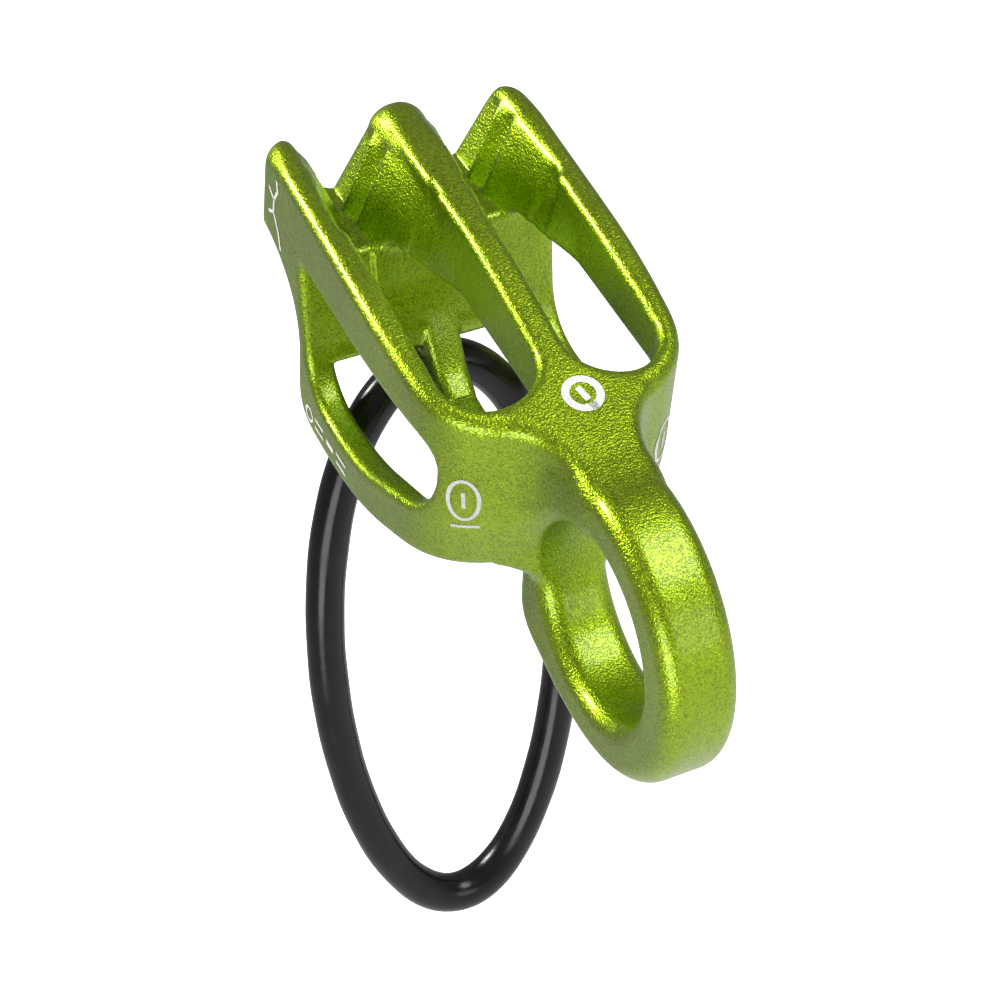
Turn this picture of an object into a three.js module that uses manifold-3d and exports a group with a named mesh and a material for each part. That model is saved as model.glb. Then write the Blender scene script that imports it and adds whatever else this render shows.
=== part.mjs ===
// A two-slot tube-style rope descender with a guide-mode anchor eye and a keeper loop.
//
// The body is drawn in its own upright frame: x runs from the toothed end to the anchor eye,
// y runs across the three walls and z points up out of the rope slots, with z = 0 on the top
// edge of the walls. The whole device is then turned about y so that the keeper loop hangs
// straight down, and the origin is moved to the centre of the anchor eye. Millimetres.
import * as THREE from 'three';
import { mergeVertices } from 'three/addons/utils/BufferGeometryUtils.js';
import Module from 'manifold-3d';

// Driving dimensions
const BODY_WIDTH = 30.4;
const SLOT_WIDTH = 10.2;
const CENTRE_WALL = 3.5;
const EDGE_ROUND = 0.9;
const SLOT_FAR_X = 14.8;
const SLOT_NEAR_X = 43.4;
const EYE_X = 58.5;
const EYE_Z = -21;
const EYE_RADIUS = 10.5;
const EYE_RIM = 6.3;
const EYE_WIDTH = 8.2;
const EYE_EDGE_ROUND = 2.0;
const HEEL_X = 43.4;
const HEEL_Z = -35.2;
const GROOVE_FLOOR_Z = -9.4;
const BRIDGE_BOTTOM_Z = -22.4;
const GROOVE_FAR_MIDDLE = 7.5;
const CENTRE_RISE = 1.2;
const HOLE_X = 12.4;
const HOLE_Z = -26.4;
const HOLE_RADIUS = 2.8;
const HANG_ANGLE = THREE.MathUtils.degToRad(20);

const LOOP_DROP = 73;
const LOOP_HALF_WIDTH = 15.4;
const LOOP_LEAN = 4.2;
const SLEEVE_OUTER = 4.6;
const SLEEVE_INNER = 3.8;
const WIRE_DIAMETER = 2.2;
const FERRULE_OUTER = 3.2;
const FERRULE_INNER = 2.5;
const FERRULE_LENGTH = 12;

const HALF_WIDTH = BODY_WIDTH / 2;
const SLOT_MIDDLE = (CENTRE_WALL + SLOT_WIDTH) / 2;
const SLOT_RADIUS = SLOT_WIDTH / 2;
const OUTER_WALL = HALF_WIDTH - CENTRE_WALL / 2 - SLOT_WIDTH;

const anodised = new THREE.MeshStandardMaterial({ color: 0x86b021, roughness: 0.42, metalness: 0.75 });
const plastic = new THREE.MeshStandardMaterial({ color: 0x2b292c, roughness: 0.35, metalness: 0 });
const steel = new THREE.MeshStandardMaterial({ color: 0x9a9c9e, roughness: 0.35, metalness: 1 });
const crimpMetal = new THREE.MeshStandardMaterial({ color: 0xb4b6b8, roughness: 0.45, metalness: 0.9 });

// Booleans
const wasm = await Module();
wasm.setup();

function toSolid(geometry) {
  const bare = geometry.clone();
  bare.deleteAttribute('normal');
  bare.deleteAttribute('uv');
  const merged = mergeVertices(bare, 1e-4);
  return new wasm.Manifold(new wasm.Mesh({
    numProp: 3,
    vertProperties: new Float32Array(merged.attributes.position.array),
    triVerts: new Uint32Array(merged.index.array),
  }));
}

function toGeometry(solid) {
  const mesh = solid.getMesh();
  const geometry = new THREE.BufferGeometry();
  geometry.setAttribute('position', new THREE.BufferAttribute(mesh.vertProperties, 3));
  geometry.setIndex(new THREE.BufferAttribute(mesh.triVerts, 1));
  return geometry;
}

function joinAll(solids) {
  return solids.reduce((whole, solid) => whole.add(solid));
}

// Outlines. A corner is [across, up, rounding], where rounding is how far the curve starts
// before the corner.
function roundedOutline(corners) {
  const shape = new THREE.Shape();
  corners.forEach(([x, y, rounding], i) => {
    const here = new THREE.Vector2(x, y);
    const before = new THREE.Vector2(...corners.at(i - 1));
    const after = new THREE.Vector2(...corners[(i + 1) % corners.length]);
    const start = here.clone().add(before.sub(here).setLength(rounding));
    const end = here.clone().add(after.sub(here).setLength(rounding));
    if (i === 0) shape.moveTo(start.x, start.y);
    else shape.lineTo(start.x, start.y);
    if (rounding > 0) shape.quadraticCurveTo(x, y, end.x, end.y);
  });
  shape.closePath();
  return shape;
}

// A plate standing in the xz plane, from yLow to yHigh, with rounded rims.
function uprightPlate(shape, yLow, yHigh, rim, curveSegments = 6) {
  const geometry = new THREE.ExtrudeGeometry(shape, {
    depth: yHigh - yLow - 2 * rim,
    bevelEnabled: rim > 0,
    bevelThickness: rim,
    bevelSize: rim,
    bevelOffset: -rim,
    bevelSegments: 2,
    curveSegments,
  });
  geometry.rotateX(Math.PI / 2);
  geometry.translate(0, yHigh - rim, 0);
  return toSolid(geometry);
}

// A block standing on an outline in the xy plane, from zLow to zHigh.
function levelBlock(shape, zLow, zHigh, curveSegments = 6) {
  const geometry = new THREE.ExtrudeGeometry(shape, {
    depth: zHigh - zLow,
    bevelEnabled: false,
    curveSegments,
  });
  geometry.translate(0, 0, zLow);
  return toSolid(geometry);
}

function roundBar(radius, length, sides) {
  return new THREE.CylinderGeometry(radius, radius, length, sides);
}

// Side view of an outer wall: horn at the toothed end, strut, lower arm and top line.
function outerProfile() {
  return roundedOutline([
    [-0.3, 0.5, 3.4],
    [-1.9, -12.7, 1.7],
    [6.2, -13.0, 4.0],
    [9.1, -18.5, 3.0],
    [8.9, -31.3, 5.5],
    [25.0, -31.3, 8.0],
    [43.0, -25.0, 3.0],
    [50.0, -24.0, 0],
    [50.0, -3.9, 0],
    [46.0, -3.4, 3.0],
    [29.0, -1.0, 9.0],
  ]);
}

// The centre wall stands a little higher along its top.
function centreProfile() {
  return roundedOutline([
    [-0.2, 0.5 + CENTRE_RISE, 3.0],
    [-1.9, -12.7, 1.7],
    [6.2, -13.0, 4.0],
    [9.1, -18.5, 3.0],
    [8.9, -31.3, 5.5],
    [25.0, -31.3, 8.0],
    [43.0, -25.0, 3.0],
    [50.0, -24.0, 0],
    [50.0, -3.4, 0],
    [45.0, -2.6, 3.0],
    [27.0, 0.5, 7.5],
    [13.0, 1.5, 5.0],
  ]);
}

function outerWindow() {
  return roundedOutline([
    [10.4, -8.6, 2.2],
    [13.4, -24.9, 5.5],
    [25.0, -24.9, 6.0],
    [41.4, -17.6, 5.0],
    [41.4, -8.4, 3.4],
  ]);
}

// The centre wall keeps metal around the hole for the keeper loop.
function centreWindow() {
  return roundedOutline([
    [10.8, -8.4, 2.2],
    [12.6, -16.6, 3.0],
    [19.5, -24.9, 4.0],
    [27.0, -24.9, 6.0],
    [42.0, -17.0, 5.0],
    [42.0, -8.2, 3.4],
  ]);
}

function walls() {
  const outer = outerProfile();
  outer.holes.push(outerWindow());
  const centre = centreProfile();
  centre.holes.push(centreWindow());
  return joinAll([
    uprightPlate(outer, -HALF_WIDTH, -HALF_WIDTH + OUTER_WALL, EDGE_ROUND),
    uprightPlate(centre, -CENTRE_WALL / 2, CENTRE_WALL / 2, EDGE_ROUND),
    uprightPlate(outer, HALF_WIDTH - OUTER_WALL, HALF_WIDTH, EDGE_ROUND),
  ]);
}

// The bridge joins the walls under the toothed grooves. Above its floor the groove block
// fills the space between the walls until the grooves are cut out of it.
function grooveBlockOutline(rise) {
  return roundedOutline([
    [0.1, -0.6 + rise, 2.4],
    [-1.4, -12.0, 1.0],
    [6.2, -12.8, 3.0],
    [9.3, BRIDGE_BOTTOM_Z, 1.0],
    [SLOT_FAR_X, BRIDGE_BOTTOM_Z, 2.0],
    [SLOT_FAR_X, -0.7 + rise, 0],
  ]);
}

function bridgeAndGrooveBlock() {
  return joinAll([
    uprightPlate(grooveBlockOutline(0), -HALF_WIDTH + 1.2, HALF_WIDTH - 1.2, 0),
    uprightPlate(grooveBlockOutline(CENTRE_RISE), -GROOVE_FAR_MIDDLE, GROOVE_FAR_MIDDLE, 0),
  ]);
}

// A wedge-shaped cutter that opens upwards: half widths at the floor and at the top are given
// for the far and the near end.
function grooveCutter(side, [xFar, floorFar, topFar], [xNear, floorNear, topNear]) {
  const geometry = new THREE.BoxGeometry(1, 1, 1);
  const position = geometry.attributes.position;
  for (let i = 0; i < position.count; i += 1) {
    const near = position.getX(i) > 0;
    const top = position.getZ(i) > 0;
    const floorHalf = near ? floorNear : floorFar;
    const topHalf = near ? topNear : topFar;
    const x = near ? xNear : xFar;
    const share = Math.min(Math.max(x / SLOT_FAR_X, 0), 1);
    const middle = side * THREE.MathUtils.lerp(GROOVE_FAR_MIDDLE, SLOT_MIDDLE, share);
    position.setXYZ(
      i,
      x,
      middle + Math.sign(position.getY(i)) * (top ? topHalf : floorHalf),
      top ? 3 : GROOVE_FLOOR_Z,
    );
  }
  return toSolid(geometry);
}

// Each groove widens towards the slot and steps in again at two teeth.
function grooves(side) {
  return joinAll([
    grooveCutter(side, [-6, 0.6, 5.6], [3.2, 1.1, 6.0]),
    grooveCutter(side, [3.1, 0.3, 5.2], [6.4, 1.1, 6.0]),
    grooveCutter(side, [6.3, 0.6, 5.5], [SLOT_FAR_X + 0.5, 2.4, 5.9]),
  ]);
}

function slot(middle) {
  const end = SLOT_NEAR_X - SLOT_RADIUS;
  const outline = new THREE.Shape();
  outline.moveTo(SLOT_FAR_X, middle - SLOT_RADIUS);
  outline.lineTo(end, middle - SLOT_RADIUS);
  outline.absarc(end, middle, SLOT_RADIUS, -Math.PI / 2, Math.PI / 2, false);
  outline.lineTo(SLOT_FAR_X, middle + SLOT_RADIUS);
  outline.closePath();
  return levelBlock(outline, -60, 20, 10);
}

// The nose closes the near end of the slots and narrows from the walls to the eye.
function nose() {
  const side = roundedOutline([
    [37.5, -2.3, 0],
    [46.0, -3.4, 3.0],
    [EYE_X - 1.5, EYE_Z + EYE_RADIUS + EYE_RIM - 0.4, 4.0],
    [EYE_X - 4, -25.0, 2.0],
    [42.0, -23.6, 1.5],
    [37.5, -26.0, 0],
  ]);
  const block = uprightPlate(side, -HALF_WIDTH, HALF_WIDTH, 0, 8);
  const trimmed = block.intersect(levelBlock(planOutline(), -60, 20, 10));
  return trimmed.subtract(uprightPlate(outerWindow(), -HALF_WIDTH - 1, HALF_WIDTH + 1, 0));
}

// Seen from above, the outer faces sweep in from the full width to the width of the eye.
function planOutline() {
  const half = EYE_WIDTH / 2;
  return roundedOutline([
    [-10, -HALF_WIDTH, 0],
    [30.0, -HALF_WIDTH, 6.0],
    [44.4, -HALF_WIDTH + 1.2, 6.5],
    [47.6, -half, 6.5],
    [90, -half, 0],
    [90, half, 0],
    [47.6, half, 6.5],
    [44.4, HALF_WIDTH - 1.2, 6.5],
    [30.0, HALF_WIDTH, 6.0],
    [-10, HALF_WIDTH, 0],
  ]);
}

// The rim of the eye is round on the far side and reaches back to a heel under the nose.
function anchorEye() {
  const radius = EYE_RADIUS + EYE_RIM;
  const open = THREE.MathUtils.degToRad(98);
  const outline = new THREE.Shape();
  outline.absarc(EYE_X, EYE_Z, radius, -open, open, false);
  outline.lineTo(HEEL_X + 3.6, EYE_Z + radius - 3);
  outline.lineTo(HEEL_X, EYE_Z);
  outline.lineTo(HEEL_X, HEEL_Z + 4.7);
  outline.quadraticCurveTo(HEEL_X, HEEL_Z, HEEL_X + 7.6, HEEL_Z - 1.7);
  outline.closePath();
  const hole = new THREE.Path();
  hole.absarc(EYE_X, EYE_Z, EYE_RADIUS, 0, 2 * Math.PI, true);
  outline.holes.push(hole);
  return uprightPlate(outline, -EYE_WIDTH / 2, EYE_WIDTH / 2, EYE_EDGE_ROUND, 24);
}

function eyeBore() {
  const bar = roundBar(EYE_RADIUS, 60, 48);
  bar.translate(EYE_X, 0, EYE_Z);
  return toSolid(bar);
}

// The hole for the keeper loop runs across the centre wall and flares at both mouths.
function loopHole() {
  const half = CENTRE_WALL / 2;
  const flare = HOLE_RADIUS + 1.0;
  const profile = [[0, -half - 1], [flare + 0.6, -half - 1], [flare, -half], [HOLE_RADIUS, -half + 1.1],
    [HOLE_RADIUS, half - 1.1], [flare, half], [flare + 0.6, half + 1], [0, half + 1]]
    .map(([radius, along]) => new THREE.Vector2(radius, along));
  const geometry = new THREE.LatheGeometry(profile, 28);
  geometry.translate(HOLE_X, 0, HOLE_Z);
  return toSolid(geometry);
}

function bodyGeometry() {
  const trimmedWalls = walls().intersect(levelBlock(planOutline(), -60, 20, 10));
  const metal = joinAll([trimmedWalls, bridgeAndGrooveBlock(), nose(), anchorEye()]);
  const cut = joinAll([
    grooves(-1),
    grooves(1),
    slot(-SLOT_MIDDLE),
    slot(SLOT_MIDDLE),
    eyeBore(),
    loopHole(),
  ]);
  return toGeometry(metal.subtract(cut));
}

// Keeper loop: a long oval whose top passes through the hole. It is drawn in the upright
// frame, hanging along the direction that becomes straight down and leaning a little sideways.
function loopPoint(turn) {
  const angle = 2 * Math.PI * turn;
  const share = (1 - Math.cos(angle)) / 2;
  const drop = LOOP_DROP * share;
  const across = LOOP_HALF_WIDTH * Math.sin(angle) * (1 + 0.06 * Math.cos(angle));
  return new THREE.Vector3(
    HOLE_X + drop * Math.sin(HANG_ANGLE),
    -across - LOOP_LEAN * share,
    HOLE_Z - drop * Math.cos(HANG_ANGLE),
  );
}

// The stretch of the loop from one turn value to another, as a smooth curve.
function loopCurve(from, to, points) {
  const stops = Array.from({ length: points }, (_, i) => loopPoint(from + (to - from) * i / (points - 1)));
  return new THREE.CatmullRomCurve3(stops);
}

function ringShape(outer, inner, sides) {
  const shape = new THREE.Shape();
  shape.setFromPoints(circlePoints(outer / 2, sides));
  if (inner > 0) {
    const hole = new THREE.Path();
    hole.setFromPoints(circlePoints(inner / 2, sides).reverse());
    shape.holes.push(hole);
  }
  return shape;
}

function circlePoints(radius, sides) {
  return Array.from({ length: sides }, (_, i) => {
    const angle = 2 * Math.PI * i / sides;
    return new THREE.Vector2(radius * Math.cos(angle), radius * Math.sin(angle));
  });
}

function tube(curve, outer, inner, sides, steps) {
  const geometry = new THREE.ExtrudeGeometry(ringShape(outer, inner, sides), {
    steps,
    bevelEnabled: false,
    extrudePath: curve,
  });
  return toGeometry(toSolid(geometry));
}

const device = new THREE.Group();

function addPiece(name, geometry, material) {
  const mesh = new THREE.Mesh(geometry, material);
  mesh.name = name;
  device.add(mesh);
}

// The wire's ends meet inside the ferrule at the bottom of the loop. The sleeve's ends meet
// inside the hole in the body.
const LOOP_LENGTH = loopCurve(0, 1, 120).getLength();
const WIRE_JOIN = 0.5;
const endGap = 0.25 / LOOP_LENGTH;
const ferruleHalf = FERRULE_LENGTH / 2 / LOOP_LENGTH;

addPiece('body', bodyGeometry(), anodised);
addPiece(
  'loop_sleeve',
  tube(loopCurve(endGap, 1 - endGap, 72), SLEEVE_OUTER, SLEEVE_INNER, 10, 80),
  plastic,
);
addPiece(
  'wire_rope',
  tube(loopCurve(WIRE_JOIN + endGap, WIRE_JOIN + 1 - endGap, 72), WIRE_DIAMETER, 0, 8, 80),
  steel,
);
addPiece(
  'crimp_ferrule',
  tube(loopCurve(WIRE_JOIN - ferruleHalf, WIRE_JOIN + ferruleHalf, 9), FERRULE_OUTER, FERRULE_INNER, 12, 8),
  crimpMetal,
);

const part = new THREE.Group();
device.position.set(-EYE_X, 0, -EYE_Z);
const tilted = new THREE.Group();
tilted.rotation.y = HANG_ANGLE;
tilted.add(device);
part.add(tilted);

export default part;
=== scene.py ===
"""Looks for a two-slot rope descender: a forged green body and a black keeper loop."""

import math

import bpy
import numpy as np
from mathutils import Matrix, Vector
from mathutils.bvhtree import BVHTree


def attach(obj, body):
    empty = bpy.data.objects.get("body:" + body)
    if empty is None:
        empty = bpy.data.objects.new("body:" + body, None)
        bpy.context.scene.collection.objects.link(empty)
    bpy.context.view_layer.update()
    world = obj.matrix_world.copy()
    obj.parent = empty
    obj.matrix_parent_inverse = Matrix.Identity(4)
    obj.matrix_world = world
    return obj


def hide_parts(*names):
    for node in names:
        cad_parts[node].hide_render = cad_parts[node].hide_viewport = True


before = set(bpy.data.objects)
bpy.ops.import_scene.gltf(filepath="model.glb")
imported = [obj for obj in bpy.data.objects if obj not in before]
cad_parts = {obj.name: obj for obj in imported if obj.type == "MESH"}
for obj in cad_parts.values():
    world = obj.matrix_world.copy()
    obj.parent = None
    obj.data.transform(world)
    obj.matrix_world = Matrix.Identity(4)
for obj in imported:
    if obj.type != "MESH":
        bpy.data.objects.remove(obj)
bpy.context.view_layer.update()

HANG_ANGLE = math.radians(20.0)

# ---- Camera: the photograph's viewing angle ----
CAMERA_AT = (0.18836, -0.08825, 0.12615)
CAMERA_TURN = (61.5541, 5.5251, 64.9293)
CAMERA_LENS = 87.743
SENSOR_WIDTH = 36.0


def add_camera():
    data = bpy.data.cameras.new("camera")
    data.lens = CAMERA_LENS
    data.sensor_width = SENSOR_WIDTH
    data.clip_start = 0.01
    data.clip_end = 50.0
    camera = bpy.data.objects.new("camera", data)
    camera.location = CAMERA_AT
    camera.rotation_euler = [math.radians(a) for a in CAMERA_TURN]
    bpy.context.scene.collection.objects.link(camera)
    bpy.context.scene.camera = camera


def add_object(name, vertices, faces, material, smooth=True):
    mesh = bpy.data.meshes.new(name)
    vertices = np.asarray(vertices, np.float32)
    faces = np.asarray(faces, np.int32)
    mesh.vertices.add(len(vertices))
    mesh.vertices.foreach_set("co", vertices.ravel())
    mesh.loops.add(faces.size)
    mesh.loops.foreach_set("vertex_index", faces.ravel())
    mesh.polygons.add(len(faces))
    mesh.polygons.foreach_set("loop_start", np.arange(len(faces), dtype=np.int32) * faces.shape[1])
    mesh.update(calc_edges=True)
    mesh.validate()
    if smooth:
        mesh.polygons.foreach_set("use_smooth", np.ones(len(mesh.polygons), bool))
    mesh.materials.append(material)
    piece = bpy.data.objects.new(name, mesh)
    bpy.context.scene.collection.objects.link(piece)
    return piece


# ---- Materials (texture scales are repeats per metre) ----
GRAIN_SCALE = 5200
BLAST_SCALE = 4300
DEEP_GREEN = (0.085, 0.135, 0.001)
BRIGHT_GREEN = (0.37, 0.55, 0.010)
SLEEVE_TONES = ((0.005, 0.0045, 0.005), (0.011, 0.010, 0.012))
PRINT_TONES = ((0.72, 0.75, 0.70), (0.95, 0.95, 0.94))
WIRE_COLOUR = (0.55, 0.56, 0.57)
FERRULE_COLOUR = (0.62, 0.63, 0.64)


def new_material(name, base, metallic, roughness):
    material = bpy.data.materials.new(name)
    material.use_nodes = True
    nodes = material.node_tree.nodes
    shader = nodes["Principled BSDF"]
    shader.inputs["Base Color"].default_value = (*base, 1)
    shader.inputs["Metallic"].default_value = metallic
    shader.inputs["Roughness"].default_value = roughness
    return material, nodes, material.node_tree.links, shader


def texture(nodes, links, kind, scale, detail=2.0):
    place = nodes.new("ShaderNodeTexCoord")
    node = nodes.new(kind)
    node.inputs["Scale"].default_value = scale
    if "Detail" in node.inputs:
        node.inputs["Detail"].default_value = detail
    links.new(place.outputs["Object"], node.inputs["Vector"])
    return node


def spread(nodes, links, source, low, high, from_low=0.0, from_high=1.0):
    node = nodes.new("ShaderNodeMapRange")
    node.inputs["From Min"].default_value = from_low
    node.inputs["From Max"].default_value = from_high
    node.inputs["To Min"].default_value = low
    node.inputs["To Max"].default_value = high
    links.new(source, node.inputs["Value"])
    return node.outputs["Result"]


def blend(nodes, links, factor, dark, bright):
    """A colour between two others, by a factor from 0 to 1."""
    node = nodes.new("ShaderNodeMix")
    node.data_type = "RGBA"
    node.inputs["A"].default_value = (*dark, 1)
    node.inputs["B"].default_value = (*bright, 1)
    links.new(factor, node.inputs["Factor"])
    return node.outputs["Result"]


def bump(nodes, links, source, shader, strength, distance):
    node = nodes.new("ShaderNodeBump")
    node.inputs["Strength"].default_value = strength
    node.inputs["Distance"].default_value = distance
    links.new(source, node.inputs["Height"])
    links.new(node.outputs["Normal"], shader.inputs["Normal"])


def anodised_green():
    """Bead-blasted anodised aluminium: each tiny facet catches the light a little differently."""
    material, nodes, links, shader = new_material("anodised_green", (0.25, 0.42, 0.01), 0.95, 0.4)
    grain = texture(nodes, links, "ShaderNodeTexVoronoi", GRAIN_SCALE)
    cloud = texture(nodes, links, "ShaderNodeTexNoise", 90, 3)
    level = nodes.new("ShaderNodeSeparateColor")
    links.new(grain.outputs["Color"], level.inputs["Color"])
    total = nodes.new("ShaderNodeMath")
    total.operation = "ADD"
    links.new(spread(nodes, links, level.outputs["Red"], 0.0, 0.75), total.inputs[0])
    links.new(spread(nodes, links, cloud.outputs["Fac"], 0.0, 0.2, 0.35, 0.65), total.inputs[1])
    shade = blend(nodes, links, total.outputs["Value"], DEEP_GREEN, BRIGHT_GREEN)
    links.new(shade, shader.inputs["Base Color"])
    links.new(spread(nodes, links, level.outputs["Green"], 0.24, 0.4), shader.inputs["Roughness"])
    fine = texture(nodes, links, "ShaderNodeTexNoise", BLAST_SCALE, 1)
    bump(nodes, links, fine.outputs["Fac"], shader, 0.8, 0.00012)
    shader.inputs["Coat Weight"].default_value = 0.5
    shader.inputs["Coat Roughness"].default_value = 0.22
    return material


def black_sleeve():
    """Soft glossy plastic with faint haze and shallow flow marks."""
    material, nodes, links, shader = new_material("black_sleeve", (0.02, 0.018, 0.021), 0.0, 0.3)
    haze = texture(nodes, links, "ShaderNodeTexNoise", 260, 4)
    links.new(spread(nodes, links, haze.outputs["Fac"], 0.16, 0.3, 0.3, 0.7), shader.inputs["Roughness"])
    share = spread(nodes, links, haze.outputs["Fac"], 0.0, 1.0, 0.3, 0.7)
    links.new(blend(nodes, links, share, *SLEEVE_TONES), shader.inputs["Base Color"])
    ripple = texture(nodes, links, "ShaderNodeTexNoise", 700, 2)
    bump(nodes, links, ripple.outputs["Fac"], shader, 0.25, 0.00008)
    shader.inputs["Specular IOR Level"].default_value = 0.35
    return material


def twisted_steel(name, base):
    """Metal with fine uneven gloss, for the wire and the ferrule inside the sleeve."""
    material, nodes, links, shader = new_material(name, base, 1.0, 0.35)
    streaks = texture(nodes, links, "ShaderNodeTexNoise", 1800, 2)
    links.new(spread(nodes, links, streaks.outputs["Fac"], 0.25, 0.5), shader.inputs["Roughness"])
    bump(nodes, links, streaks.outputs["Fac"], shader, 0.3, 0.00005)
    return material


def white_print():
    """White ink, a little speckled by the grain under it."""
    material, nodes, links, shader = new_material("white_print", (0.85, 0.86, 0.85), 0.0, 0.5)
    speckle = texture(nodes, links, "ShaderNodeTexNoise", 5000, 2)
    share = spread(nodes, links, speckle.outputs["Fac"], 0.0, 1.0, 0.35, 0.6)
    links.new(blend(nodes, links, share, *PRINT_TONES), shader.inputs["Base Color"])
    return material


# ---- Keeper loop (metres) ----
LOOP_DROP = 0.073
LOOP_HALF_WIDTH = 0.0154
LOOP_LEAN = 0.0042
SLEEVE_RADIUS = 0.0023
SLEEVE_INNER = 0.0019
FERRULE_SWELL = 0.00016
FERRULE_REACH = 0.0075
SLEEVE_END_GAP = 0.00003


def to_row(points):
    """Device-frame millimetres to row-frame metres."""
    points = np.asarray(points, float) - (EYE_X, 0, EYE_Z)
    c, s = math.cos(HANG_ANGLE), math.sin(HANG_ANGLE)
    turned = np.stack([points[:, 0] * c + points[:, 2] * s, points[:, 1],
                       -points[:, 0] * s + points[:, 2] * c], 1)
    return turned / 1000


def loop_points(turns):
    """Centre line of the loop, from 0 in the hole, down one side to 0.5 and back up to 1."""
    angle = 2 * np.pi * np.asarray(turns)
    share = (1 - np.cos(angle)) / 2
    top = to_row([(HOLE_X, 0, HOLE_Z)])[0]
    across = LOOP_HALF_WIDTH * np.sin(angle) * (1 + 0.06 * np.cos(angle))
    return np.stack([np.full(len(angle), top[0]), -across - LOOP_LEAN * share,
                     top[2] - LOOP_DROP * share], 1)


def even_turns(count, gap):
    """Turn values that space the points evenly, starting and ending a gap from the joint."""
    fine = np.linspace(0, 1, 4001)
    points = loop_points(fine)
    run = np.concatenate([[0], np.cumsum(np.linalg.norm(np.diff(points, axis=0), axis=1))])
    wanted = np.linspace(gap, run[-1] - gap, count)
    return np.interp(wanted, run, fine), run[-1]


def sleeve_mesh(sides=28, count=300):
    """A tube round the loop's wire, slightly uneven and thicker over the ferrule."""
    turns, length = even_turns(count, SLEEVE_END_GAP)
    centre = loop_points(turns)
    ahead = np.gradient(centre, axis=0)
    ahead /= np.linalg.norm(ahead, axis=1)[:, None]
    out = np.array([1.0, 0, 0])
    side = np.cross(ahead, out)
    along = np.linspace(0, length, count)
    swell = FERRULE_SWELL * np.exp(-((along - length / 2) / FERRULE_REACH) ** 4)
    wander = 0.00002 * np.sin(along * 310.0) + 0.000015 * np.sin(along * 730.0 + 1.0)
    turn = 2 * np.pi * np.arange(sides) / sides
    ring = np.cos(turn)[None, :, None] * out + np.sin(turn)[None, :, None] * side[:, None, :]
    outer = centre[:, None, :] + ring * (SLEEVE_RADIUS + swell + wander)[:, None, None]
    inner = centre[:, None, :] + ring * (SLEEVE_INNER + 0.5 * swell)[:, None, None]
    vertices = np.concatenate([outer.reshape(-1, 3), inner.reshape(-1, 3)])
    rows = np.arange(count - 1)[:, None] * sides
    first = (rows + np.arange(sides)[None]).ravel()
    second = (rows + (np.arange(sides)[None] + 1) % sides).ravel()
    skin = np.stack([first, second, second + sides, first + sides], 1)
    lining = skin[:, ::-1] + count * sides
    ends = []
    for row, flip in ((0, False), (count - 1, True)):
        a = row * sides + np.arange(sides)
        b = row * sides + (np.arange(sides) + 1) % sides
        cap = np.stack([a, a + count * sides, b + count * sides, b], 1)
        ends.append(cap[:, ::-1] if flip else cap)
    return vertices, np.concatenate([skin, lining, *ends])


# ---- Forged body, drawn as a distance field in the device frame (millimetres) ----
# x runs from the toothed end to the anchor eye, y across the walls, z up out of the slots.
GRID = 0.3
PLAN_STEP = 0.05
LOW_CORNER = (-4.5, 0.0, -40.5)
HIGH_CORNER = (77.5, 17.0, 4.5)
HALF_WIDTH = 15.2
SLOT_MIDDLE = 6.85
SLOT_HALF = 5.1
SLOT_FAR_X = 14.8
SLOT_NEAR_X = 43.4
GROOVE_FLOOR = -9.4
GROOVE_MIDDLE = 7.5
BRIDGE_BOTTOM = -22.4
EYE_X, EYE_Z = 58.5, -21.0
EYE_RADIUS, EYE_OUTER, EYE_HALF = 10.5, 16.9, 4.1
HOLE_X, HOLE_Z, HOLE_RADIUS = 12.4, -26.4, 2.8
GROOVE_END_X = 16.5
WEDGE_SCALE = 0.91

# Edge roundings and the fillet at the eye's foot.
SIDE_ROUND, HORN_ROUND = 1.4, 1.4
SLOT_ROUND, BRIDGE_ROUND = 1.15, 1.6
GROOVE_ROUND, CROWN_ROUND = 1.1, 0.9
WINDOW_ROUND, HOLE_ROUND = 0.9, 0.7
EYE_ROUND, EYE_FILLET = 2.1, 1.6


def rounded(corners, steps=16):
    """A closed outline through [across, up, rounding] corners, as points."""
    points = []
    for i, (x, y, rounding) in enumerate(corners):
        here = np.array([x, y])
        before = np.array(corners[i - 1][:2]) - here
        after = np.array(corners[(i + 1) % len(corners)][:2]) - here
        start = here + before / np.linalg.norm(before) * rounding
        end = here + after / np.linalg.norm(after) * rounding
        for t in np.linspace(0, 1, steps if rounding else 1):
            points.append((1 - t) ** 2 * start + 2 * t * (1 - t) * here + t * t * end)
    return np.array(points)


def outline_distance(points, x, y):
    """Signed distance from a closed outline, negative inside."""
    nearest = np.full(np.broadcast(x, y).shape, 1e9)
    inside = np.zeros(nearest.shape, bool)
    for a, b in zip(points, np.roll(points, -1, axis=0)):
        ex, ey = b - a
        length2 = ex * ex + ey * ey
        if length2 < 1e-12:
            continue
        t = np.clip(((x - a[0]) * ex + (y - a[1]) * ey) / length2, 0, 1)
        nearest = np.minimum(nearest, (x - a[0] - t * ex) ** 2 + (y - a[1] - t * ey) ** 2)
        if ey != 0:
            crosses = (a[1] > y) != (b[1] > y)
            inside ^= crosses & (x < a[0] + (y - a[1]) * ex / ey)
    return np.where(inside, -1, 1) * np.sqrt(nearest)


def both(a, b, r):
    """Where both shapes are, with the edge between them rounded."""
    return np.minimum(-r, np.maximum(a, b)) + np.hypot(np.maximum(r + a, 0), np.maximum(r + b, 0))


def either(a, b, r):
    """Both shapes joined, with a fillet between them."""
    return np.maximum(r, np.minimum(a, b)) - np.hypot(np.maximum(r - a, 0), np.maximum(r - b, 0))


def ease(value, low, high):
    """0 below low, 1 above high and a smooth rise between."""
    t = np.clip((value - low) / (high - low), 0, 1)
    return t * t * (3 - 2 * t)


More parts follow.
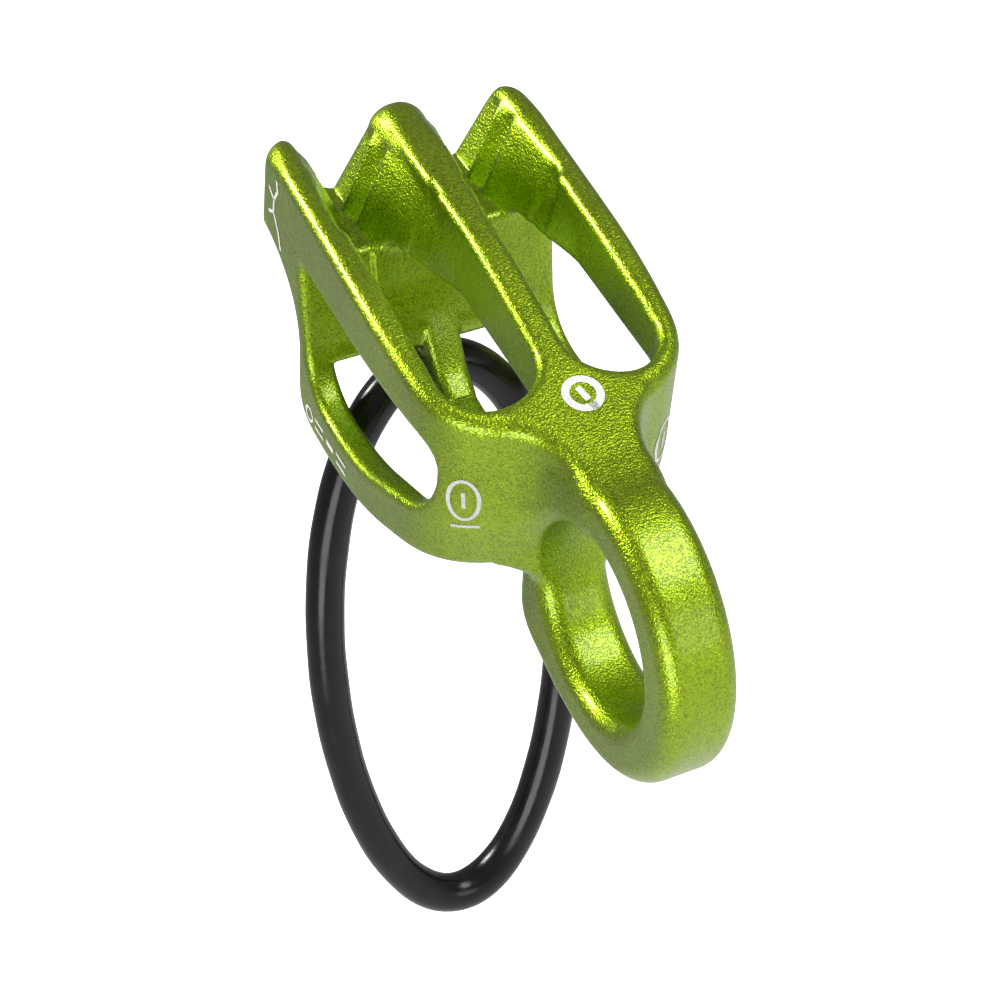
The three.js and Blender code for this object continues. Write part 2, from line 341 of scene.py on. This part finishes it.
def outer_profile():
    """Side view of an outer wall."""
    return rounded([
        (-0.3, 0.5, 3.4), (-1.9, -12.7, 1.7), (6.2, -13.0, 4.0), (9.7, -18.5, 3.0),
        (9.5, -31.3, 5.5), (25.0, -31.3, 8.0), (42.0, -24.6, 5.0), (54.5, -25.0, 2.0),
        (57.0, -4.8, 4.0), (46.0, -3.4, 5.0), (29.0, -1.0, 9.0),
    ])


def centre_profile():
    """Side view of the centre wall, which stands a little higher."""
    return rounded([
        (-0.2, 1.7, 3.0), (-1.9, -12.7, 1.7), (6.2, -13.0, 4.0), (9.1, -18.5, 3.0),
        (8.5, -31.3, 5.5), (25.0, -31.3, 8.0), (42.0, -24.6, 5.0), (54.5, -25.0, 2.0),
        (57.0, -4.6, 4.0), (45.0, -2.6, 5.0), (27.0, 0.5, 7.5), (13.0, 1.5, 5.0),
    ])


def outer_window():
    return rounded([
        (10.4, -8.6, 2.2), (13.4, -24.9, 5.5), (25.0, -24.9, 6.0),
        (41.4, -17.6, 5.0), (41.4, -8.4, 3.4),
    ])


def centre_window():
    return rounded([
        (10.8, -8.4, 2.2), (12.6, -16.6, 3.0), (19.5, -24.9, 4.0), (27.0, -24.9, 6.0),
        (42.0, -17.0, 5.0), (42.0, -8.2, 3.4),
    ])


def plan_outline():
    """Half of the view from above: full width along the walls, then in to the eye."""
    return rounded([
        (-20.0, -20.0, 0), (-20.0, HALF_WIDTH, 0), (30.0, HALF_WIDTH, 6.0), (44.0, 14.0, 6.5),
        (47.4, EYE_HALF, 6.5), (90.0, EYE_HALF, 0), (90.0, -20.0, 0),
    ])


def plan_distance(x, y):
    """Distance from the plan outline, read from a fine row of x values for each y."""
    row = np.arange(-8.0, 84.0, PLAN_STEP)
    table = outline_distance(plan_outline(), row[:, None], y[0, :, 0][None])
    place = (x[:, 0, :] - row[0]) / PLAN_STEP
    low = np.floor(place).astype(int)
    share = (place - low)[..., None]
    found = table[low] * (1 - share) + table[low + 1] * share
    return np.moveaxis(found, 2, 1)


def eye_outline():
    """Side view of the anchor eye's rim and the heel under the nose."""
    turn = np.radians(np.linspace(-98, 98, 60))
    rim = np.stack([EYE_X + EYE_OUTER * np.cos(turn), EYE_Z + EYE_OUTER * np.sin(turn)], 1)
    heel = rounded([
        (47.0, -7.4, 0), (43.0, -20.0, 0), (43.5, -34.8, 4.6), (53.0, -37.4, 0),
    ])
    return np.concatenate([rim, heel])


def groove_middle(x):
    """Distance of a groove's or slot's middle from the centre plane."""
    return GROOVE_MIDDLE + (SLOT_MIDDLE - GROOVE_MIDDLE) * ease(x, 8.0, 24.0)


def plain_floor(x):
    """Half width of a groove's floor without its teeth."""
    return np.interp(x, [-9.0, 0.0, 7.0, 14.8, 18.0], [0.4, 0.55, 0.85, 2.4, 3.0])


def toothed_floor(x):
    """Half width of a groove's floor, stepping in again after each of two teeth."""
    return np.interp(x, [-9.0, 3.0, 3.6, 6.2, 6.8, 14.8, 18.0],
                     [0.55, 1.0, 0.15, 1.15, 0.6, 2.4, 3.0])


def plain_groove(x, z):
    """Half width of a groove without its teeth."""
    return plain_floor(x) + np.interp(x, [6.0, 15.0], [0.43, 0.32]) * (z - GROOVE_FLOOR)


def groove(x, y, z):
    """One V-shaped groove that widens towards the slot and steps in at two teeth, which fade out
    towards the rounded top edges."""
    lean = x + 0.1 * (z - GROOVE_FLOOR)
    teeth = (toothed_floor(lean) - plain_floor(lean)) * ease(-z, 0.2, 2.0)
    half = np.minimum(plain_groove(lean, z) + teeth, SLOT_HALF)
    wedge = (np.abs(y - groove_middle(x)) - half) * WEDGE_SCALE
    return np.maximum(np.maximum(wedge, GROOVE_FLOOR - z), lean - GROOVE_END_X)


def slot_void(x, y, z):
    """One slot, open above and below. Its walls start as thick as the groove's and thin out."""
    start = np.minimum(plain_groove(np.clip(x, 14.8, 18.0), np.maximum(z, GROOVE_FLOOR)), SLOT_HALF)
    thick = (1 - ease(x, 15.0, 23.0)) * ease(z, -17.0, -10.0)
    half = SLOT_HALF - (SLOT_HALF - start) * thick
    across = np.abs(y - groove_middle(x)) - half
    near_end = np.hypot(np.maximum(x - (SLOT_NEAR_X - SLOT_HALF), 0), y - SLOT_MIDDLE) - SLOT_HALF
    bridge = both(x - SLOT_FAR_X, BRIDGE_BOTTOM - z, BRIDGE_ROUND)
    return np.maximum(np.maximum(across, near_end), -bridge)


def side_distance(points, x, z):
    """Distance from an outline in side view, the same for every y."""
    return outline_distance(points, x[:, 0, 0][:, None], z[0, 0, :][None])[:, None, :]


def body_field(x, y, z):
    """Distance field of the body for y >= 0. x, y and z broadcast together."""
    outer = side_distance(outer_profile(), x, z)
    centre = side_distance(centre_profile(), x, z)
    side = centre + (outer - centre) * ease(y, 3.0, 11.0)
    drawn_in = 1.6 * ease(-z, 15.0, 28.0) * ease(x, 26.0, 50.0)
    plan = plan_distance(x + drawn_in, y)
    edge = SIDE_ROUND + HORN_ROUND * (1 - ease(x, -1.0, 7.0))
    metal = both(side, plan, edge)

    ring = side_distance(eye_outline(), x, z)
    metal = either(metal, both(ring, y - EYE_HALF, EYE_ROUND), EYE_FILLET)

    metal = both(metal, -slot_void(x, y, z), SLOT_ROUND)
    round_top = GROOVE_ROUND + CROWN_ROUND * (1 - ease(x, 0.0, 12.0)) * (1 - ease(y, 6.5, 7.5))
    metal = both(metal, -groove(x, y, z), round_top)

    window = np.where(y > SLOT_MIDDLE, side_distance(outer_window(), x, z),
                      side_distance(centre_window(), x, z))
    metal = both(metal, -window, WINDOW_ROUND)

    bore = np.hypot(x - EYE_X, z - EYE_Z) - EYE_RADIUS
    metal = both(metal, -bore, EYE_ROUND)
    hole = np.hypot(x - HOLE_X, z - HOLE_Z) - HOLE_RADIUS
    hole = np.maximum(hole, y - SLOT_MIDDLE)
    return both(metal, -hole, HOLE_ROUND)


def surface_net(field, low, step):
    """Quads around the zero level of a field on a regular grid: vertices and faces."""
    inside = field < 0
    corners = [(i, j, k) for i in (0, 1) for j in (0, 1) for k in (0, 1)]
    nx, ny, nz = (n - 1 for n in field.shape)
    count = np.zeros((nx, ny, nz), np.int8)
    for i, j, k in corners:
        count += inside[i:i + nx, j:j + ny, k:k + nz]
    cells = np.argwhere((count > 0) & (count < 8))
    number = np.full((nx, ny, nz), -1, np.int64)
    number[tuple(cells.T)] = np.arange(len(cells))
    total = np.zeros((len(cells), 3))
    hits = np.zeros(len(cells))
    for a in corners:
        for axis in range(3):
            if a[axis]:
                continue
            b = list(a)
            b[axis] = 1
            fa = field[tuple((cells + a).T)]
            fb = field[tuple((cells + b).T)]
            crossed = (fa < 0) != (fb < 0)
            t = np.where(crossed, fa / np.where(crossed, fa - fb, 1), 0)
            point = np.repeat(np.array(a, float)[None], len(cells), 0)
            point[:, axis] = t
            total += np.where(crossed[:, None], point, 0)
            hits += crossed
    vertices = low + step * (cells + total / hits[:, None])
    faces = []
    for axis in range(3):
        u, v = (axis + 1) % 3, (axis + 2) % 3
        lower = [slice(1, -1)] * 3
        upper = [slice(1, -1)] * 3
        lower[axis] = slice(0, -1)
        upper[axis] = slice(1, None)
        here, there = inside[tuple(lower)], inside[tuple(upper)]
        edges = np.argwhere(here != there)
        flip = here[tuple(edges.T)]
        base = edges + 1
        base[:, axis] -= 1
        quad = []
        for du, dv in ((0, 0), (1, 0), (1, 1), (0, 1)):
            cell = base.copy()
            cell[:, u] -= du
            cell[:, v] -= dv
            quad.append(number[tuple(cell.T)])
        quad = np.stack(quad, 1)
        quad[~flip] = quad[~flip][:, ::-1]
        faces.append(quad)
    return vertices, np.concatenate(faces)


def relaxed(vertices, faces, passes=5):
    """Evens out the small ripples a grid leaves, without shrinking the shape."""
    ends = np.concatenate([faces[:, [i, (i + 1) % 4]] for i in range(4)])
    count = np.bincount(ends[:, 0], minlength=len(vertices))[:, None]
    for step in [0.5, -0.52] * passes:
        total = [np.bincount(ends[:, 0], vertices[ends[:, 1], i], len(vertices)) for i in range(3)]
        vertices = vertices + step * (np.stack(total, 1) / count - vertices)
    return vertices


def body_mesh():
    """The whole body from its right half, mirrored."""
    low = np.array(LOW_CORNER)
    count = np.ceil((np.array(HIGH_CORNER) - low) / GRID).astype(int)
    x, y, z = (low[i] + GRID * np.arange(count[i]) for i in range(3))
    half = body_field(x[:, None, None], y[None, :, None], z[None, None, :])
    whole = np.concatenate([half[:, :0:-1], half], axis=1)
    vertices, faces = surface_net(whole, np.array([low[0], -y[-1], low[2]]), GRID)
    return relaxed(vertices, faces), faces


# ---- Printed marks: plain strokes laid on the metal ----
MARK_LIFT = 0.00003


def arc(x, y, radius, start, end, count=24):
    """Points round part of a circle, with angles in degrees."""
    turn = np.radians(np.linspace(start, end, count))
    return [(x + radius * math.cos(t), y + radius * math.sin(t)) for t in turn]


NOSE_STROKES = [
    (0.42, [(1.6 * x, 2.7 * y) for x, y in arc(0.0, 0.0, 1.0, 0, 360, 40)]),
    (0.42, [(0.0, -0.9), (0.0, 0.9)]),
    (0.42, [(-1.3, -3.8), (1.3, -3.8)]),
]

# Each mark: centre in the device frame, direction of its right and up, direction it is cast
# along, and strokes as (width, points), all in millimetres.
MARKS = {
    "top_mark": ((45.2, 0.6, 10.0), (1.0, 0.25, 0.0), (-0.25, 1.0, 0.0), (0, 0, -1), [
        (0.8, arc(0.0, 0.0, 1.7, 0, 360, 40)),
        (0.7, [(-0.5, 0.0), (0.5, 0.0)]),
    ]),
    "left_nose_mark": ((54.8, -18.4, -14.0), (0.56, 0.83, 0.2), (0.0, -0.1, 1.0),
                       (-0.83, 0.56, 0), NOSE_STROKES),
    "right_nose_mark": ((54.8, 18.4, -14.0), (-0.56, 0.83, -0.2), (0.0, 0.1, 1.0),
                        (-0.83, -0.56, 0), NOSE_STROKES),
    "left_horn_mark": ((4.6, -30.0, -6.4), (0.0, 0.0, 1.0), (-1.0, 0.0, 0.0), (0, 1, 0), [
        (0.4, [(-4.4, -0.9), (-2.6, -0.4), (-0.6, 0.9), (1.2, 0.7), (3.0, -0.4), (4.2, -0.2)]),
        (0.4, [(1.2, 0.7), (2.0, 1.9)]),
        (0.4, [(-0.6, 0.9), (-1.3, 2.1)]),
    ]),
    "left_arm_mark": ((18.2, -30.0, -28.1), (1.0, 0.0, 0.04), (-0.04, 0.0, 1.0), (0, 1, 0), [
        (0.35, arc(-4.6, 0.0, 0.9, 0, 360)),
        (0.35, [(-2.8, -0.6), (-0.8, -0.6)]),
        (0.35, [(-2.8, 0.6), (-0.8, 0.6)]),
        (0.7, [(0.6, 0.0), (1.8, 0.0)]),
        (0.35, [(3.2, -0.6), (5.4, -0.6)]),
        (0.35, [(3.2, 0.6), (5.4, 0.6)]),
    ]),
}


def smooth_stroke(points, spacing=0.25):
    """The same line with evenly spaced points."""
    points = np.array(points, float)
    run = np.concatenate([[0], np.cumsum(np.linalg.norm(np.diff(points, axis=0), axis=1))])
    count = max(3, int(run[-1] / spacing) + 1)
    wanted = np.linspace(0, run[-1], count)
    return np.stack([np.interp(wanted, run, points[:, i]) for i in (0, 1)], 1)


def stroke_strip(points, width):
    """Rows of left edge, middle and right edge along a stroke."""
    line = smooth_stroke(points)
    ahead = np.gradient(line, axis=0)
    ahead /= np.maximum(np.linalg.norm(ahead, axis=1), 1e-9)[:, None]
    across = np.stack([-ahead[:, 1], ahead[:, 0]], 1) * width / 2
    line[0] -= ahead[0] * width / 2
    line[-1] += ahead[-1] * width / 2
    return np.stack([line - across, line, line + across], 1)


def add_mark(name, tree, material):
    """Casts a mark's strokes on to the body, leaving out any part that misses it."""
    centre, right, up, cast, strokes = MARKS[name]
    centre, right, up, cast = (np.array(v, float) for v in (centre, right, up, cast))
    vertices, faces, missed = [], [], set()
    for width, points in strokes:
        strip = stroke_strip(points, width)
        flat = centre + strip[..., :1] * right + strip[..., 1:] * up
        starts = to_row(flat.reshape(-1, 3))
        way = Vector(to_row([cast])[0] - to_row([(0, 0, 0)])[0]).normalized()
        base = len(vertices)
        for start in starts:
            hit, normal, _, _ = tree.ray_cast(Vector(start), way)
            if hit is None:
                missed.add(len(vertices))
                hit, normal = Vector(), Vector()
            vertices.append(hit + normal * MARK_LIFT)
        for i in range(len(strip) - 1):
            for j in (0, 1):
                a = base + 3 * i + j
                faces.append((a, a + 1, a + 4, a + 3))
    faces = [face for face in faces if not missed.intersection(face)]
    piece = add_object(name, vertices, faces, material)
    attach(piece, "descender_body")


# ---- Studio ----
FLOOR_Z = -0.115
FLOOR_SIDE = 6.0
FLOOR_TONES = ((0.92, 0.92, 0.92), (0.94, 0.94, 0.94))
FLOOR_GLOW = 0.9
BRIGHTEST_WAY = (0.20, 0.20, -0.96)

# Each light: name, place, what it points at, size, power and colour.
LIGHTS = [
    ("key", (-0.50, -0.70, 0.60), (-0.02, 0, 0.01), 0.30, 9.0, (1.0, 0.98, 0.94)),
    ("top", (0.46, 0.34, 0.80), (0, 0, 0), 0.6, 5.5, (1, 1, 1)),
    ("near_left", (0.60, -0.65, -0.15), (0, 0, -0.01), 0.6, 4.6, (1, 1, 1)),
    ("near_fill", (0.9, 0.35, 0.15), (0, 0, -0.01), 0.5, 1.3, (1, 1, 1)),
]


def add_area(name, place, aim, size, power, colour):
    data = bpy.data.lights.new(name, "AREA")
    data.shape = "DISK"
    data.size = size
    data.energy = power
    data.color = colour
    light = bpy.data.objects.new(name, data)
    light.location = place
    way = Vector(aim) - Vector(place)
    light.rotation_euler = way.to_track_quat("-Z", "Y").to_euler()
    bpy.context.scene.collection.objects.link(light)


def add_world():
    """Soft light that is strongest from below, and plain white where the camera sees it."""
    world = bpy.data.worlds.new("studio")
    bpy.context.scene.world = world
    world.use_nodes = True
    nodes, links = world.node_tree.nodes, world.node_tree.links
    back = nodes["Background"]
    place = nodes.new("ShaderNodeTexCoord")
    towards = nodes.new("ShaderNodeVectorMath")
    towards.operation = "DOT_PRODUCT"
    towards.inputs[1].default_value = BRIGHTEST_WAY
    links.new(place.outputs["Generated"], towards.inputs[0])
    soft = spread(nodes, links, towards.outputs["Value"], 0.25, 1.0, -0.1, 0.85)
    seen = nodes.new("ShaderNodeLightPath")
    strength = nodes.new("ShaderNodeMath")
    strength.operation = "MAXIMUM"
    links.new(seen.outputs["Is Camera Ray"], strength.inputs[0])
    links.new(soft, strength.inputs[1])
    links.new(strength.outputs["Value"], back.inputs["Strength"])
    back.inputs["Color"].default_value = (1, 1, 1, 1)


def add_floor():
    """A pale floor that neither lights the metal nor shows in it."""
    material, nodes, links, shader = new_material("pale_floor", (0.93, 0.93, 0.93), 0.0, 0.9)
    mottle = texture(nodes, links, "ShaderNodeTexNoise", 6, 2)
    tone = blend(nodes, links, mottle.outputs["Fac"], *FLOOR_TONES)
    links.new(tone, shader.inputs["Base Color"])
    shader.inputs["Emission Color"].default_value = (1, 1, 1, 1)
    shader.inputs["Emission Strength"].default_value = FLOOR_GLOW
    around = [(-1, -1), (1, -1), (1, 1), (-1, 1)]
    corners = [(x * FLOOR_SIDE, y * FLOOR_SIDE, FLOOR_Z) for x, y in around]
    floor = add_object("floor", corners, [(0, 1, 2, 3)], material, smooth=False)
    floor.visible_diffuse = False
    floor.visible_glossy = False


# ---- Assembly ----
add_camera()

sleeve = add_object("keeper_loop_sleeve", *sleeve_mesh(), black_sleeve())
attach(sleeve, "keeper_loop")
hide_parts("loop_sleeve")

vertices, faces = body_mesh()
body = add_object("forged_body", to_row(vertices), faces, anodised_green())
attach(body, "descender_body")
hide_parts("body")

tree = BVHTree.FromObject(body, bpy.context.evaluated_depsgraph_get())
print_material = white_print()
for mark in MARKS:
    add_mark(mark, tree, print_material)

for node, colour in (("wire_rope", WIRE_COLOUR), ("crimp_ferrule", FERRULE_COLOUR)):
    metal = twisted_steel(node + "_metal", colour)
    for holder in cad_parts[node].material_slots:
        holder.material = metal

add_world()
add_floor()
for light in LIGHTS:
    add_area(*light)
bpy.context.scene.view_settings.view_transform = "Standard"
